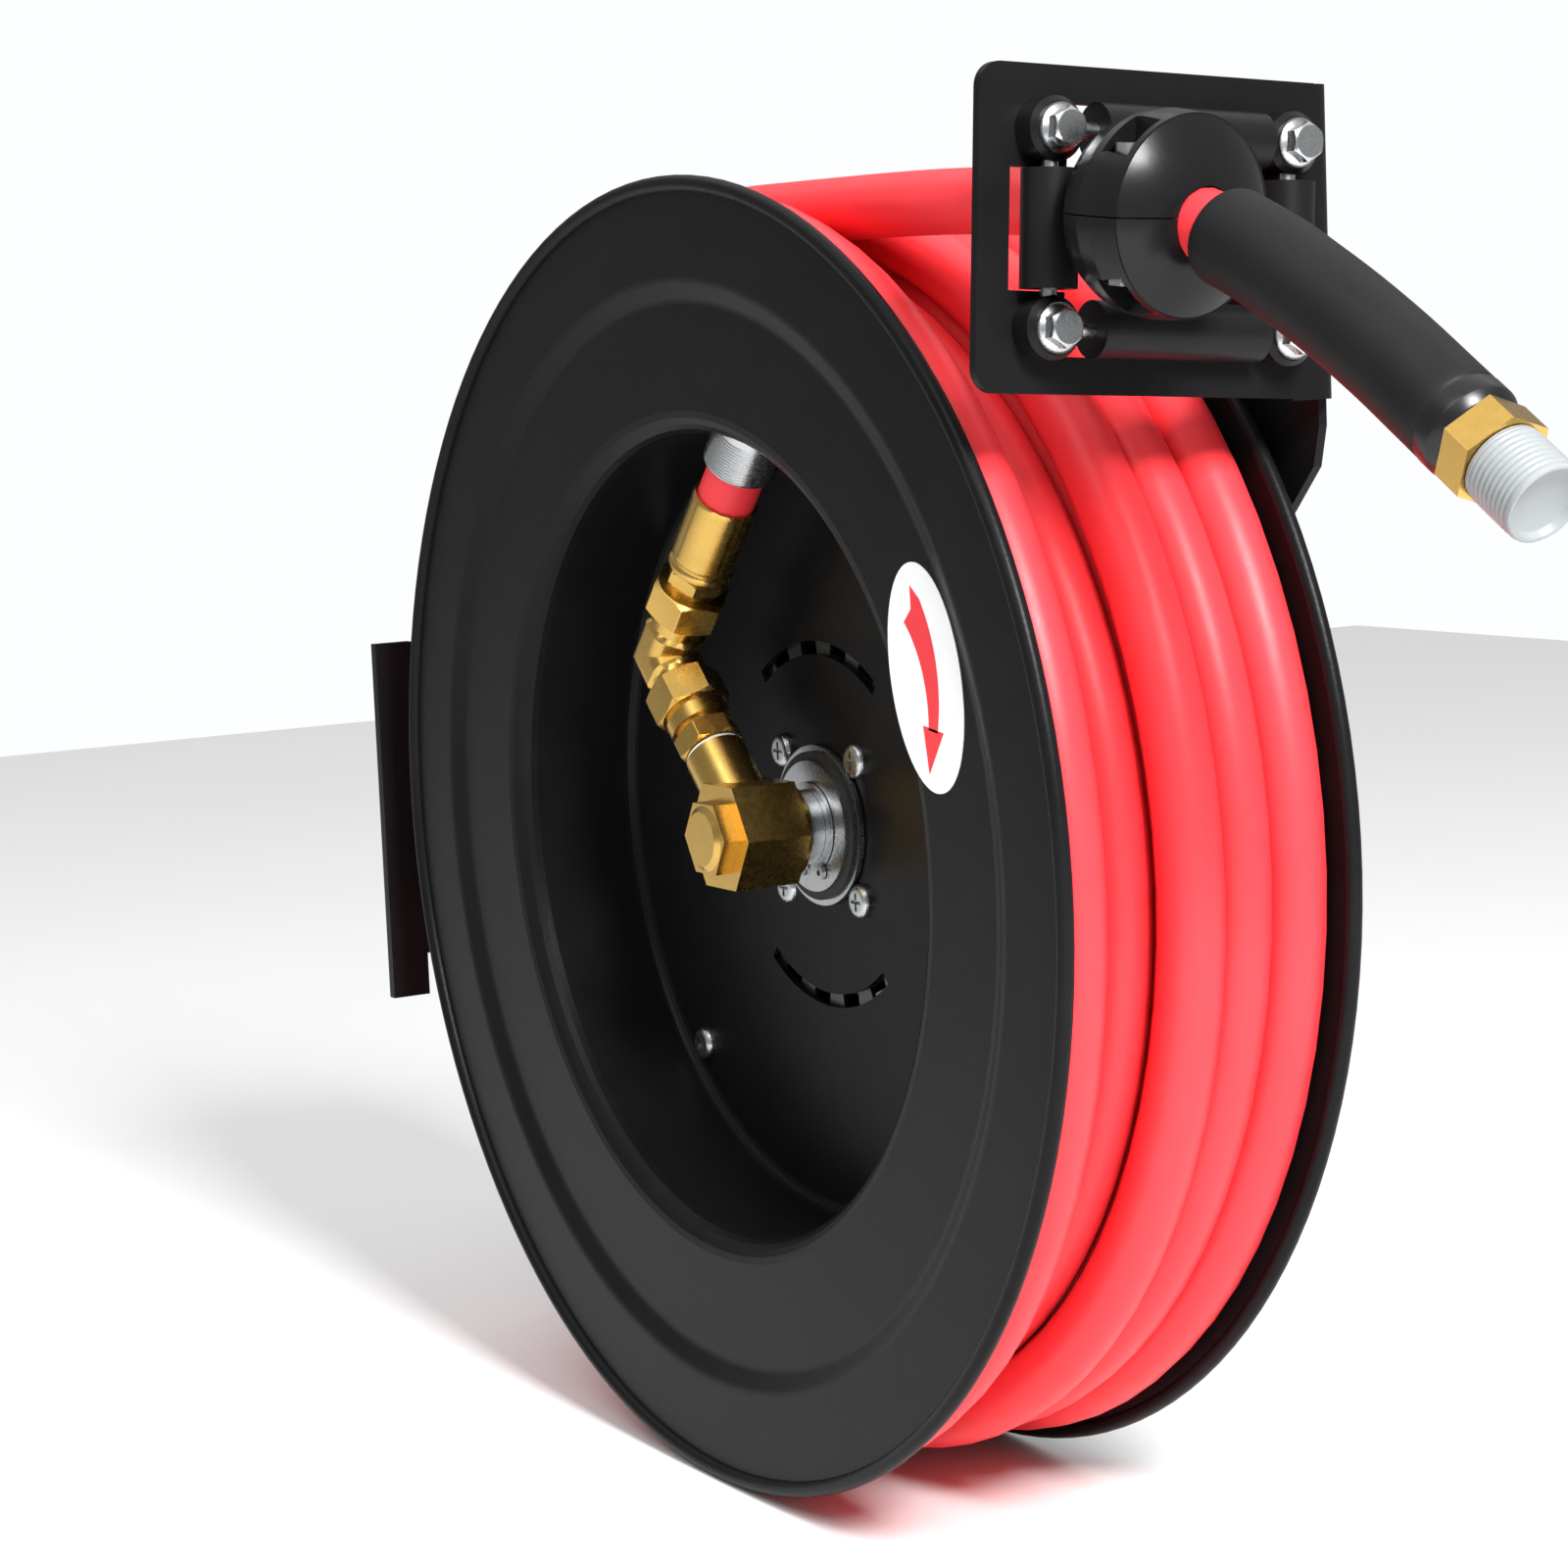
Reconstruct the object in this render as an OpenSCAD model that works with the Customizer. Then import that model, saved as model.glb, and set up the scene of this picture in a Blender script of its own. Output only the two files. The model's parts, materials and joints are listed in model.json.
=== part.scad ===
// Spring-rewind hose reel on a single wall pedestal.
// Frame: X points away from the wall, Y along the drum axle, Z up.
// Origin: centre of the foot plate's bolt pattern, on the wall face.

/* [Wall foot] */
// Width of the foot plate along the axle
foot_w = 147; // [146:1:160]
// Height of the foot plate at its end tabs
foot_h = 137; // [130:1:150]
// Thickness of the foot plate
foot_t = 4; // [3:0.5:6]
// Width of each end tab
foot_tab_w = 15; // [10:1:18]
// Height of the foot plate between its tabs
foot_waist_h = 105; // [100:1:120]
// Spacing of the wall bolts along the axle
bolt_span_y = 60; // [50:1:66]
// Spacing of the wall bolts up the wall
bolt_span_z = 76; // [60:1:80]
// Diameter of the wall bolt holes
bolt_hole_d = 10; // [8:0.5:12]

/* [Drum] */
// Distance from the wall to the axle
axle_x = 243; // [238:1:260]
// Height of the axle above the foot's centre
axle_z = 16; // [0:1:25]
// Distance of the drum's middle plane from the foot's centre
drum_y = -19.5; // [-21:0.5:-19]
// Radius of the flange to the middle of its rolled rim
rim_r = 213; // [212:0.5:214]
// Half of the distance between the two rolled rims
rim_u = 51.4; // [51:0.1:52]
// Depth of the flange's inner zone from the middle plane
flange_u = 47.9; // [47.5:0.1:48.5]
// Radius of the drum wall
drum_r = 133.4; // [133:0.1:134]
// Thickness of the pressed sheet
sheet_t = 1.2; // [1:0.1:1.5]
// Radius where the flange steps outward
step_r = 179; // [176:1:182]

/* [Hose] */
// Outer diameter of the hose
hose_d = 20; // [19.5:0.1:20]
// Radius of the outermost turns, to the hose's middle
turn_r = 200; // [199:0.5:200.5]

/* [Axle] */
// Diameter of the axle where the bushes run
axle_d = 25; // [24:0.1:25]
// Diameter of the axle inside the brass swivel
journal_d = 22; // [20:0.1:22]
// Diameter of the air passage
passage_d = 12; // [10:0.5:13]
// Radial running clearance of bushes, rollers and pawl
run_gap = 0.05; // [0.03:0.01:0.08]

/* [Roller mouth] */
// Distance from the axle to the middle of the mouth plate
mouth_x = 195.5; // [195:0.5:197]
// Height of the mouth's centre above the axle
mouth_z = 187; // [186:0.5:188]
// Height of the mouth plate
mouth_h = 91; // [90:1:96]
// Spacing of the mouth bolts along the axle
post_span_y = 82.4; // [82:0.1:83]
// Spacing of the mouth bolts in height
post_span_z = 54.6; // [54.4:0.1:55]
// Small turn of the mouth plate about its middle, clockwise from the front
mouth_roll = 3.4; // [0:0.2:4]
// Diameter of the rollers
roller_d = 16.4; // [15:0.1:16.4]
// Diameter of the roller pins
pin_d = 5; // [4:0.5:6]

/* [Hose end] */
// Diameter of the ball stop
ball_d = 58; // [56:0.5:58]
// Diameter of the bend sleeve
sleeve_d = 27.2; // [26:0.1:28]

/* [Ratchet] */
// Number of ratchet teeth, a multiple of four
teeth = 24; // [16:4:28]
// Radius of the ratchet tooth tips
tip_r = 46; // [45:0.5:47]
// Radius of the ratchet tooth roots
root_r = 40; // [39:0.5:41]

/* [Hidden] */

$fn = 96;
eps = 0.01;
dark = "#1c1d1f";
zinc = "#c9ccd0";
brass = "#c79a35";
red = "#e01018";

// Flange sheet: faces away from the middle plane
floor_u = sheet_t / 2 + 0.05;
rim_bead_r = 2.6;
step_rise = 3;
step_run = 7;
corner_steps = 5;

// Hub and spring canister, measured from the drum's middle plane towards the pedestal
hub_t = 4;
hub_y = 2.9;
hub_r = 42;
boss_r = 20;
hub_sleeve_r = 15.8;
boss_end = 17;
bush_r = 15;
can_r = 95;
can_y = 1.4;
can_end = 30;
can_t = 1.5;
cover_end = can_end + 1.5;
far_boss_end = 45;
screw_half = 23.4;
pan_bolt_r = 123;
slot_r = 59.5;
slot_w = 4.6;
slot_half_angle = 37;
label_angle = 23.6;
outer_turns = [-39.2, 1.9, 20.6, 39.2];
ratchet_y = 33;
ratchet_t = 5;

// Pedestal and guide arm planes
guide_y = 61;
guide_t = 3;
arm_y = guide_y + guide_t;
arm_t = 5;
arm_hub_r = 48;
guide_hub_r = 58;
guide_slot_r = 40;
guide_bolt_angles = [60, 180, 300];
arm_half_h = 47;
arm_lip_t = 4;
arm_lip_w = 22;
arm_lip_share = 0.76;
arm_root_high = [foot_t - axle_x, foot_waist_h / 2 - 4 - axle_z];
arm_root_low = [foot_t - axle_x, 4 - foot_waist_h / 2 - axle_z];
axle_end_near = -38;
axle_end_far = 92;
flange_face = arm_y + arm_t;

// Swivel, elbow and hose entry, in the plane of the hose train
train_y = -28;
swivel_angle = 134.5;
elbow_reach = 79;
entry_angle = 49.5;
grommet_start = 86;
ferrule_end = 72;
ferrule_d = 22.4;
swivel_back = -15.5;
swivel_front = -41.5;

// Ratchet pawl
pawl_angle = 205;
pawl_pivot_r = 74;
pawl_pin_d = 8;

// Roller mouth
plate_t = 3;
plate_front = mouth_x + plate_t / 2;
post_d = 18;
post_h = 9;
post_chamfer = 1.5;
pin_x = plate_front + 4.5;
plate_y0 = -62;
mouth_reach = 54;
window_y = 51.5;
window_z = 17;
slot_y = 32.5;
slot_z = 35;
roller_v_len = 33;
roller_h_len = 57.5;
pin_grip = 3.6;
mouth_y = 0;
mouth_drop = 3.4;
mouth_top = mouth_z + mouth_h / 2 - mouth_drop;
mouth_low = mouth_z - mouth_h / 2 - mouth_drop;
roller_h_shift = 2.4;
mouth_bolt_d = 6;

// Hose end
ball_x = 234.5;
ball_y = -22;
ball_z = 191.2;
ball_pitch = 6;
ball_yaw = 6;
ball_lip = 6.3;
ball_bore_pitch = 10.9;
dome_r = 48.5;
dome_base_r = 27.2;
clamp_x = -0.5;
clamp_y = 17;
clamp_z = 15.5;
end_x = 348.4;
end_z = 135.6;
end_pitch = 33;
ring_len = 9;
hex_len = 10;
thread_len = 15;
cap_len = 18;

// Middle line of the hose from the winding to its end fitting, from the axle's centre
hose_route = [[-88, -19, 181.3], [-70, -19, 189.2], [-50, -19, 195.4], [-25, -19, 200.2],
              [0, -19, 201.7], [30, -19.2, 201.7], [60, -19.6, 201.5], [90, -20.2, 201.2],
              [120, -21, 200.6], [150, -21.6, 199.4], [180, -22, 197.4], [202, -22, 195.2],
              [218, -22, 193.6], [234.5, -22, 191.2], [243.5, -22, 189.1], [252, -22, 186.6],
              [276, -22, 177.2], [289, -22, 170.8], [306, -22, 161.9], [323, -22, 152],
              [337, -22, 143], [348.4, -22, 135.6]];
sleeve_start = 15;

function unit(v) = v / norm(v);
function reversed(p) = [for (i = [len(p) - 1:-1:0]) p[i]];

// Points of a round corner of radius r at b, between a and c
function corner(a, b, c, r) =
    let (u = unit(a - b), v = unit(c - b), half = acos(u * v) / 2,
         centre = b + unit(u + v) * r / sin(half),
         s = b + u * r / tan(half) - centre, e = b + v * r / tan(half) - centre,
         sweep = 180 - 2 * half)
    [for (i = [0:corner_steps]) let (t = i / corner_steps)
        centre + (sin((1 - t) * sweep) * s + sin(t * sweep) * e) / sin(sweep)];

// A bent line with its inner corners rounded
function bent(p, r) = concat([p[0]],
    [for (i = [1:len(p) - 2]) each corner(p[i - 1], p[i], p[i + 1], r[i - 1])],
    [p[len(p) - 1]]);

function shifted(p, d) = [for (i = [0:len(p) - 1])
    let (t = unit(p[min(i + 1, len(p) - 1)] - p[max(i - 1, 0)])) p[i] + d * [-t[1], t[0]]];

// A sheet of thickness t that follows a line
module sheet(p, t) {
    polygon(concat(shifted(p, t / 2), reversed(shifted(p, -t / 2))));
}

module at_reel() {
    translate([axle_x, drum_y, axle_z]) children();
}

// Local Z becomes the axle's direction, +Y
module along_y(y = 0) {
    translate([0, y, 0]) rotate([-90, 0, 0]) children();
}

// Turned about the axle, from +X towards +Z
module turned(angle) {
    rotate([0, -angle, 0]) children();
}

module rod_y(d, y0, y1) {
    along_y(y0) cylinder(d = d, h = y1 - y0);
}

module ring_y(d_out, d_in, y0, y1) {
    difference() {
        rod_y(d_out, y0, y1);
        rod_y(d_in, y0 - 1, y1 + 1);
    }
}

module hex_z(across, h) {
    cylinder(d = across / cos(30), h = h, $fn = 6);
}

// A strip bent round the axle, between two radii and over a span of angles
module arc_y(r, w, y0, y1, a0, a1) {
    turned(a0) along_y(y0) rotate([0, 0, -(a1 - a0)]) rotate_extrude(angle = a1 - a0)
        translate([r - w / 2, 0]) square([w, y1 - y0]);
}

// ---------------------------------------------------------------- wall foot and arms

module foot_plate() {
    color(dark) difference() {
        union() {
            for (s = [-1, 1])
                translate([0, s * (foot_w - foot_tab_w) / 2 - foot_tab_w / 2, -foot_h / 2])
                    cube([foot_t, foot_tab_w, foot_h]);
            translate([0, -foot_w / 2 + 1, -foot_waist_h / 2]) cube([foot_t, foot_w - 2, foot_waist_h]);
        }
        for (y = [-1, 1], z = [-1, 1])
            translate([-1, y * bolt_span_y / 2, z * bolt_span_z / 2])
                rotate([0, 90, 0]) cylinder(d = bolt_hole_d, h = foot_t + 2);
    }
}

// Outline of the pedestal arm, from the foot to the axle
module arm_outline() {
    polygon([arm_root_high, [0, arm_half_h], [0, -arm_half_h], arm_root_low]);
    circle(r = arm_hub_r);
}

// A stiffening lip along one edge of the pedestal arm, from its root towards the axle
module arm_lip(root, head, inward) {
    b = root + (head - root) * arm_lip_share;
    n = [0, inward * arm_lip_t];
    polygon([root, b, b + n, root + n]);
}

module pedestal_arm() {
    back = arm_y + arm_t - 1;
    color(dark) at_reel() difference() {
        union() {
            translate([0, arm_y + arm_t, 0]) rotate([90, 0, 0]) linear_extrude(arm_t) arm_outline();
            translate([0, back + arm_lip_w, 0]) rotate([90, 0, 0]) linear_extrude(arm_lip_w) {
                arm_lip(arm_root_high, [0, arm_half_h], -1);
                arm_lip(arm_root_low, [0, -arm_half_h], 1);
            }
            rod_y(60, back, flange_face + 2);
        }
        rod_y(axle_d - 1, arm_y - 1, flange_face + 10);
        for (a = guide_bolt_angles) turned(a) translate([guide_slot_r, 0, 0])
            rod_y(8.4, arm_y - 1, flange_face + 3);
        at_pawl() rod_y(pawl_pin_d, arm_y - 1, flange_face + 2);
        at_peg() rod_y(6, arm_y - 1, flange_face + 2);
    }
}

module guide_outline() {
    low = turned_point(guide_hub_r, -43);
    high = turned_point(guide_hub_r, 137);
    bend_x = mouth_x - plate_t / 2 - 4;
    polygon([low, [bend_x - 3, 118], [bend_x, mouth_low - 8], [bend_x, mouth_top - 1],
             [bend_x - 4, mouth_top], [134, mouth_top], [120, mouth_top - 8], high]);
    circle(r = guide_hub_r);
}

function turned_point(r, a) = [r * cos(a), r * sin(a)];

// Turned with the mouth plate, in the plate's own plane
module mouth_turned() {
    translate([mouth_y, mouth_z]) rotate(-mouth_roll) children();
}

module mouth_window() {
    square([2 * window_y, 2 * window_z], center = true);
    square([2 * slot_y, 2 * slot_z], center = true);
}

// Free part of the mouth plate, with two rounded corners on its free side
module mouth_outline(r) {
    half_h = mouth_h / 2;
    translate([plate_y0 + r, -half_h]) square([mouth_reach - plate_y0 - r, mouth_h]);
    translate([plate_y0, r - half_h]) square([r + 1, mouth_h - 2 * r]);
    for (z = [r - half_h, half_h - r]) translate([plate_y0 + r, z]) circle(r = r);
}

// One bent sheet: a round end on the axle, a broad arm, and the mouth plate across the outlet
module guide_arm() {
    bend_r = 4;
    bend_end = guide_y + guide_t - bend_r - plate_t;
    color(dark) at_reel() difference() {
        union() {
            translate([0, guide_y + guide_t, 0]) rotate([90, 0, 0]) linear_extrude(guide_t) guide_outline();
            // bend between the arm and the mouth plate
            translate([mouth_x - plate_t / 2 - bend_r, bend_end, mouth_low])
                rotate_extrude(angle = 90) translate([bend_r, 0]) square([plate_t, mouth_h]);
            translate([mouth_x - plate_t / 2, 0, 0]) rotate([90, 0, 90]) linear_extrude(plate_t) {
                translate([mouth_reach - 8, mouth_low]) square([bend_end - mouth_reach + 8, mouth_h]);
                mouth_turned() mouth_outline(7);
            }
        }
        translate([mouth_x - plate_t, 0, 0]) rotate([90, 0, 90])
            linear_extrude(2 * plate_t) mouth_turned() mouth_window();
        at_posts() translate([0, 0, -2 * plate_t]) cylinder(d = mouth_bolt_d + 0.6, h = 3 * plate_t);
        rod_y(44, guide_y - 1, guide_y + guide_t + 1);
        // arc slots that let the arm be set round the axle
        for (a = guide_bolt_angles)
            arc_y(guide_slot_r, 8.4, guide_y - 1, guide_y + guide_t + 1, a - 14, a + 14);
    }
}

module guide_bolts() {
    color(zinc) at_reel() for (a = guide_bolt_angles) turned(a) translate([guide_slot_r, 0, 0]) {
        rod_y(8, guide_y - 2, flange_face + 9);
        along_y(guide_y - 6) hex_z(13, 4.2);
        rod_y(17, guide_y - 2, guide_y);
    }
}

module guide_nuts() {
    color(zinc) at_reel() for (a = guide_bolt_angles) turned(a) translate([guide_slot_r, 0, 0])
        difference() {
            union() {
                along_y(flange_face + 1.6) hex_z(13, 6.5);
                rod_y(17, flange_face, flange_face + 1.8);
            }
            rod_y(8, flange_face - 1, flange_face + 20);
        }
}

// ---------------------------------------------------------------- roller mouth

// Middle of the mouth, on the outer face of its plate, turned with the plate
module at_mouth(x) {
    translate([x, mouth_y, mouth_z]) rotate([-mouth_roll, 0, 0]) children();
}

module at_posts() {
    for (y = [-1, 1], z = [-1, 1]) at_mouth(plate_front)
        translate([0, y * post_span_y / 2, z * post_span_z / 2]) rotate([0, 90, 0]) children();
}

module at_pins_v() {
    for (y = [-1, 1]) at_mouth(pin_x) translate([0, y * post_span_y / 2, 0]) children();
}

module at_pins_h() {
    for (z = [-1, 1]) at_mouth(pin_x) translate([0, 0, z * post_span_z / 2]) rotate([-90, 0, 0]) children();
}

pin_v_len = post_span_z - post_d + 2 * pin_grip;
pin_h_len = post_span_y - post_d + 2 * pin_grip;

module roller_posts() {
    color("#141414") at_reel() difference() {
        at_posts() difference() {
            union() {
                cylinder(d = post_d, h = post_h - post_chamfer);
                translate([0, 0, post_h - post_chamfer])
                    cylinder(d1 = post_d, d2 = post_d - 2 * post_chamfer, h = post_chamfer);
            }
            translate([0, 0, -1]) cylinder(d = mouth_bolt_d, h = post_h + 2);
        }
        at_pins_v() cylinder(d = pin_d, h = pin_v_len, center = true);
        at_pins_h() cylinder(d = pin_d, h = pin_h_len, center = true);
    }
}

// A hexagonal head on a round flange, standing on z = 0
module flange_head(across, flange_d, h) {
    cylinder(d = flange_d, h = 1.1);
    translate([0, 0, 1]) cylinder(d1 = flange_d - 0.6, d2 = across, h = 0.9);
    intersection() {
        hex_z(across, h);
        cylinder(d1 = across / cos(30) + 2 * h, d2 = across - 0.8, h = h);
    }
}

module roller_bolts() {
    color(zinc) at_reel() at_posts() {
        translate([0, 0, -10]) cylinder(d = mouth_bolt_d, h = post_h + 11);
        translate([0, 0, post_h]) flange_head(10, 14.2, 6);
    }
}

module roller_nuts() {
    color(zinc) at_reel() at_posts() translate([0, 0, -plate_t]) rotate([180, 0, 0]) difference() {
        flange_head(10, 14.2, 6);
        translate([0, 0, -1]) cylinder(d = mouth_bolt_d, h = 10);
    }
}

module roller_pins() {
    color(zinc) at_reel() {
        at_pins_v() cylinder(d = pin_d, h = pin_v_len, center = true);
        at_pins_h() cylinder(d = pin_d, h = pin_h_len, center = true);
    }
}

module roller(length) {
    color(dark) difference() {
        cylinder(d = roller_d, h = length, center = true);
        cylinder(d = pin_d + 2 * run_gap, h = length + 2, center = true);
    }
}

module upright_roller(side) {
    at_reel() at_mouth(pin_x) translate([0, side * post_span_y / 2, 0]) roller(roller_v_len);
}

module level_roller(side) {
    at_reel() at_mouth(pin_x) translate([0, roller_h_shift, side * post_span_z / 2])
        rotate([-90, 0, 0]) roller(roller_h_len);
}

module roller_left() {
    upright_roller(-1);
}

module roller_right() {
    upright_roller(1);
}

module roller_top() {
    level_roller(1);
}

module roller_bottom() {
    level_roller(-1);
}

// ---------------------------------------------------------------- axle and inlet

module main_axle() {
    color(zinc) at_reel() difference() {
        union() {
            rod_y(axle_d, -12.5, arm_y);
            rod_y(axle_d - 1, arm_y - 1, axle_end_far - 12);
            rod_y(22, axle_end_far - 13, axle_end_far);
            rod_y(journal_d, axle_end_near, -12);
            // shoulder that bears on the pedestal arm, and spacer up to the far bush
            rod_y(42, guide_y - 1, arm_y);
            rod_y(34, far_boss_end + 0.3, guide_y);
            // peg that the mainspring's inner end hooks on
            translate([10, boss_end + 1, -1.5]) cube([spring_in - 1.2 - 10, 10, 3]);
        }
        rod_y(passage_d, -34, axle_end_far + 1);
        // air ports into the swivel
        for (a = [0:90:270]) turned(a) translate([0, train_y, 0]) rotate([0, 90, 0]) cylinder(d = 7, h = 20);
        // circlip groove
        ring_y(axle_d + 2, axle_d - 2, -8, -6.4);
        // seal grooves
        for (y = seal_y) ring_y(journal_d + 2, journal_d - 4, y - 1.3, y + 1.3);
    }
}

seal_y = [-20.5, -35.5];

module axle_washer() {
    color(zinc) at_reel() ring_y(48, axle_d - 1 + 0.6, flange_face + 2, flange_face + 4);
}

module axle_nut() {
    color(zinc) at_reel() difference() {
        along_y(flange_face + 4) hex_z(38, 9);
        rod_y(axle_d - 1, flange_face, flange_face + 20);
    }
}

module inlet_fitting() {
    color(brass) at_reel() difference() {
        union() {
            along_y(axle_end_far - 9) hex_z(30, 16);
            rod_y(29, axle_end_far + 6, axle_end_far + 14);
        }
        rod_y(22, axle_end_far - 10, axle_end_far);
        rod_y(passage_d, axle_end_far - 1, axle_end_far + 3);
        rod_y(19, axle_end_far + 2, axle_end_far + 20);
    }
}

module axle_circlip() {
    color(zinc) at_reel() difference() {
        union() {
            ring_y(30, axle_d - 2, -7.9, -6.5);
            for (a = [-24, 24]) turned(a - 90) translate([16, 0, 0]) rod_y(5.5, -7.9, -6.5);
        }
        turned(-90) translate([8, -12, -2.2]) cube([14, 6, 4.4]);
        for (a = [-24, 24]) turned(a - 90) translate([16.4, 0, 0]) rod_y(2, -12, -4);
    }
}

module swivel_o_rings() {
    color("#151515") at_reel() for (y = seal_y)
        along_y(y) rotate_extrude() translate([journal_d / 2 - 0.85, 0]) circle(r = 0.85, $fn = 24);
}

// ---------------------------------------------------------------- drum

// Section of one pressed pan, from its hub hole to its rim
pan_line = bent([[16, floor_u], [drum_r, floor_u], [drum_r, flange_u], [step_r - step_run / 2, flange_u],
                 [step_r + step_run / 2, flange_u + step_rise], [rim_r, flange_u + step_rise]],
                [5, 7, 8, 8]);

module pan() {
    rotate_extrude($fn = 180) {
        sheet(pan_line, sheet_t);
        translate([rim_r, rim_u]) circle(r = rim_bead_r, $fn = 32);
    }
}

module pan_holes(y0, y1) {
    for (x = [-1, 1], z = [-1, 1]) translate([x * screw_half, 0, z * screw_half]) rod_y(6.6, y0, y1);
    for (a = [45:90:315]) turned(a) translate([pan_bolt_r, 0, 0]) rod_y(6.6, y0, y1);
    for (a = [90, 270]) arc_y(slot_r, slot_w, y0, y1, a - slot_half_angle, a + slot_half_angle);
}

// Local X runs along the hose where it passes the drum wall
module at_entry(s = 0) {
    translate([elbow_reach * cos(swivel_angle), train_y, elbow_reach * sin(swivel_angle)])
        turned(entry_angle) translate([s, 0, 0]) rotate([0, 90, 0]) children();
}

// Local Z runs along the swivel's side outlet
module at_outlet(s = 0) {
    translate([0, train_y, 0]) turned(swivel_angle) translate([s, 0, 0]) rotate([0, 90, 0]) children();
}

module near_disc() {
    color(dark) at_reel() difference() {
        mirror([0, 1, 0]) along_y() pan();
        pan_holes(-5, 5);
        at_entry(grommet_start - 20) cylinder(d = hose_d + 5, h = 60);
    }
}

module far_disc() {
    color(dark) at_reel() difference() {
        along_y() pan();
        pan_holes(-5, 5);
    }
}

module hub_flange() {
    color(zinc) at_reel() difference() {
        union() {
            rod_y(2 * hub_r, hub_y, hub_y + hub_t);
            rod_y(2 * boss_r, -1.6, boss_end - 1);
            rod_y(2 * boss_r - 8, -1.6, boss_end);
        }
        ring_y(90, 2 * hub_sleeve_r, -3, hub_y);
        rod_y(2 * bush_r, -5, boss_end + 1);
        for (x = [-1, 1], z = [-1, 1]) translate([x * screw_half, 0, z * screw_half]) rod_y(6, 0, 9);
    }
}

module bush(y0, y1) {
    color("#e8e4d8") at_reel() ring_y(2 * bush_r, axle_d + 2 * run_gap, y0, y1);
}

module bush_near() {
    bush(-1.6, boss_end);
}

module bush_far() {
    bush(can_end, far_boss_end);
}

module hub_screws() {
    color(zinc) at_reel() for (x = [-1, 1], z = [-1, 1]) translate([x * screw_half, 0, z * screw_half])
        pan_screw(6, hub_y + hub_t + 2 * floor_u, -2 * floor_u + 0.05);
}

// A pan-head screw with its head's underside at y0, pointing towards the pedestal
module pan_screw(d, length, y0) {
    difference() {
        union() {
            rod_y(d, y0 - 1, y0 + length);
            along_y(y0) rotate([180, 0, 0]) rotate_extrude($fn = 32)
                polygon(concat([[0, 0], [d * 0.98, 0]], corner([d * 0.98, 0], [d * 0.98, 2.9], [0, 2.9], 2.3),
                               [[0, 2.9]]));
        }
        for (a = [0, 90]) turned(a) translate([-3, y0 - 5, -0.6]) cube([6, 3.6, 1.2]);
    }
}

module pan_screws() {
    color(zinc) at_reel() for (a = [45:90:315]) turned(a) translate([pan_bolt_r, 0, 0])
        pan_screw(6, 11, -2 * floor_u + 0.05);
}

module pan_nuts() {
    color(zinc) at_reel() for (a = [45:90:315]) turned(a) translate([pan_bolt_r, 0, 0])
        difference() {
            along_y(2 * floor_u - 0.05) hex_z(10, 5);
            rod_y(6, 0, 12);
        }
}

module hub_washer() {
    color(zinc) at_reel() {
        ring_y(54, axle_d + 0.6, -3.5, -1.9);
        ring_y(44, axle_d + 0.6, -6.2, -4.9);
    }
}

module hub_ring() {
    color("#202020") at_reel() ring_y(50, axle_d + 2, -4.8, -3.6);
}

// ---------------------------------------------------------------- rewind spring

module spring_canister() {
    color(zinc) at_reel() difference() {
        union() {
            ring_y(2 * can_r, 2 * hub_sleeve_r + 0.4, can_y, can_y + can_t);
            ring_y(2 * can_r, 2 * (can_r - can_t), can_y, can_end);
            ring_y(2 * can_r + 14, 2 * (can_r - can_t), can_end - can_t, can_end);
            // inner bracket that the mainspring's outer end hooks over
            translate([-can_r + 0.8, can_y + can_t, -6]) cube([5, can_end - can_y - 3, 3]);
        }
        for (x = [-1, 1], z = [-1, 1]) translate([x * screw_half, 0, z * screw_half]) rod_y(6.6, 0, 9);
        // notches behind the flange slots
        for (a = [9:18:351]) turned(a) translate([slot_r + 1, can_y + can_t / 2, 0])
            cube([7, 4, 10], center = true);
        for (a = [30:60:330]) turned(a) translate([can_r + 3.4, 0, 0]) rod_y(4.2, can_end - 4, can_end + 1);
    }
}

module canister_cover() {
    color(zinc) at_reel() difference() {
        union() {
            ring_y(2 * can_r + 14, 2 * bush_r, can_end, cover_end);
            ring_y(2 * boss_r, 2 * bush_r, can_end, far_boss_end);
            ring_y(2 * 34, 2 * boss_r - 1, can_end, ratchet_y);
        }
        for (a = [30:60:330]) turned(a) translate([can_r + 3.4, 0, 0]) rod_y(4.2, can_end - 1, cover_end + 1);
        for (a = [0:120:240]) turned(a) translate([27, 0, 0]) rod_y(5, cover_end - 1.2, ratchet_y + 1);
    }
}

module cover_screws() {
    color(zinc) at_reel() {
        for (a = [30:60:330]) turned(a) translate([can_r + 3.4, 0, 0]) {
            rod_y(4.2, can_end - 4, cover_end + 1);
            rod_y(7.6, cover_end, cover_end + 2.4);
        }
        for (a = [0:120:240]) turned(a) translate([27, 0, 0]) {
            rod_y(5, cover_end - 1.2, ratchet_y + ratchet_t + 1);
            rod_y(8.5, ratchet_y + ratchet_t, ratchet_y + ratchet_t + 3);
        }
    }
}

spring_turns = 9;
spring_steps = 20;
spring_in = 24;
spring_out = 90;
spring_w = 20;
spring_y = 7.8;
strip_t = 0.9;

// Middle line of the coiled strip, from its inner end outwards
function spiral_point(i) =
    let (t = i / (spring_turns * spring_steps), a = 14 + 360 * spring_turns * t)
    turned_point(spring_in + (spring_out - spring_in) * t, a);

module mainspring() {
    n = spring_turns * spring_steps;
    color("#4b4f55") at_reel() translate([0, spring_y + spring_w, 0]) rotate([90, 0, 0])
        linear_extrude(spring_w) sheet([for (i = [0:n]) spiral_point(i)], strip_t);
}

// ---------------------------------------------------------------- ratchet

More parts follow.
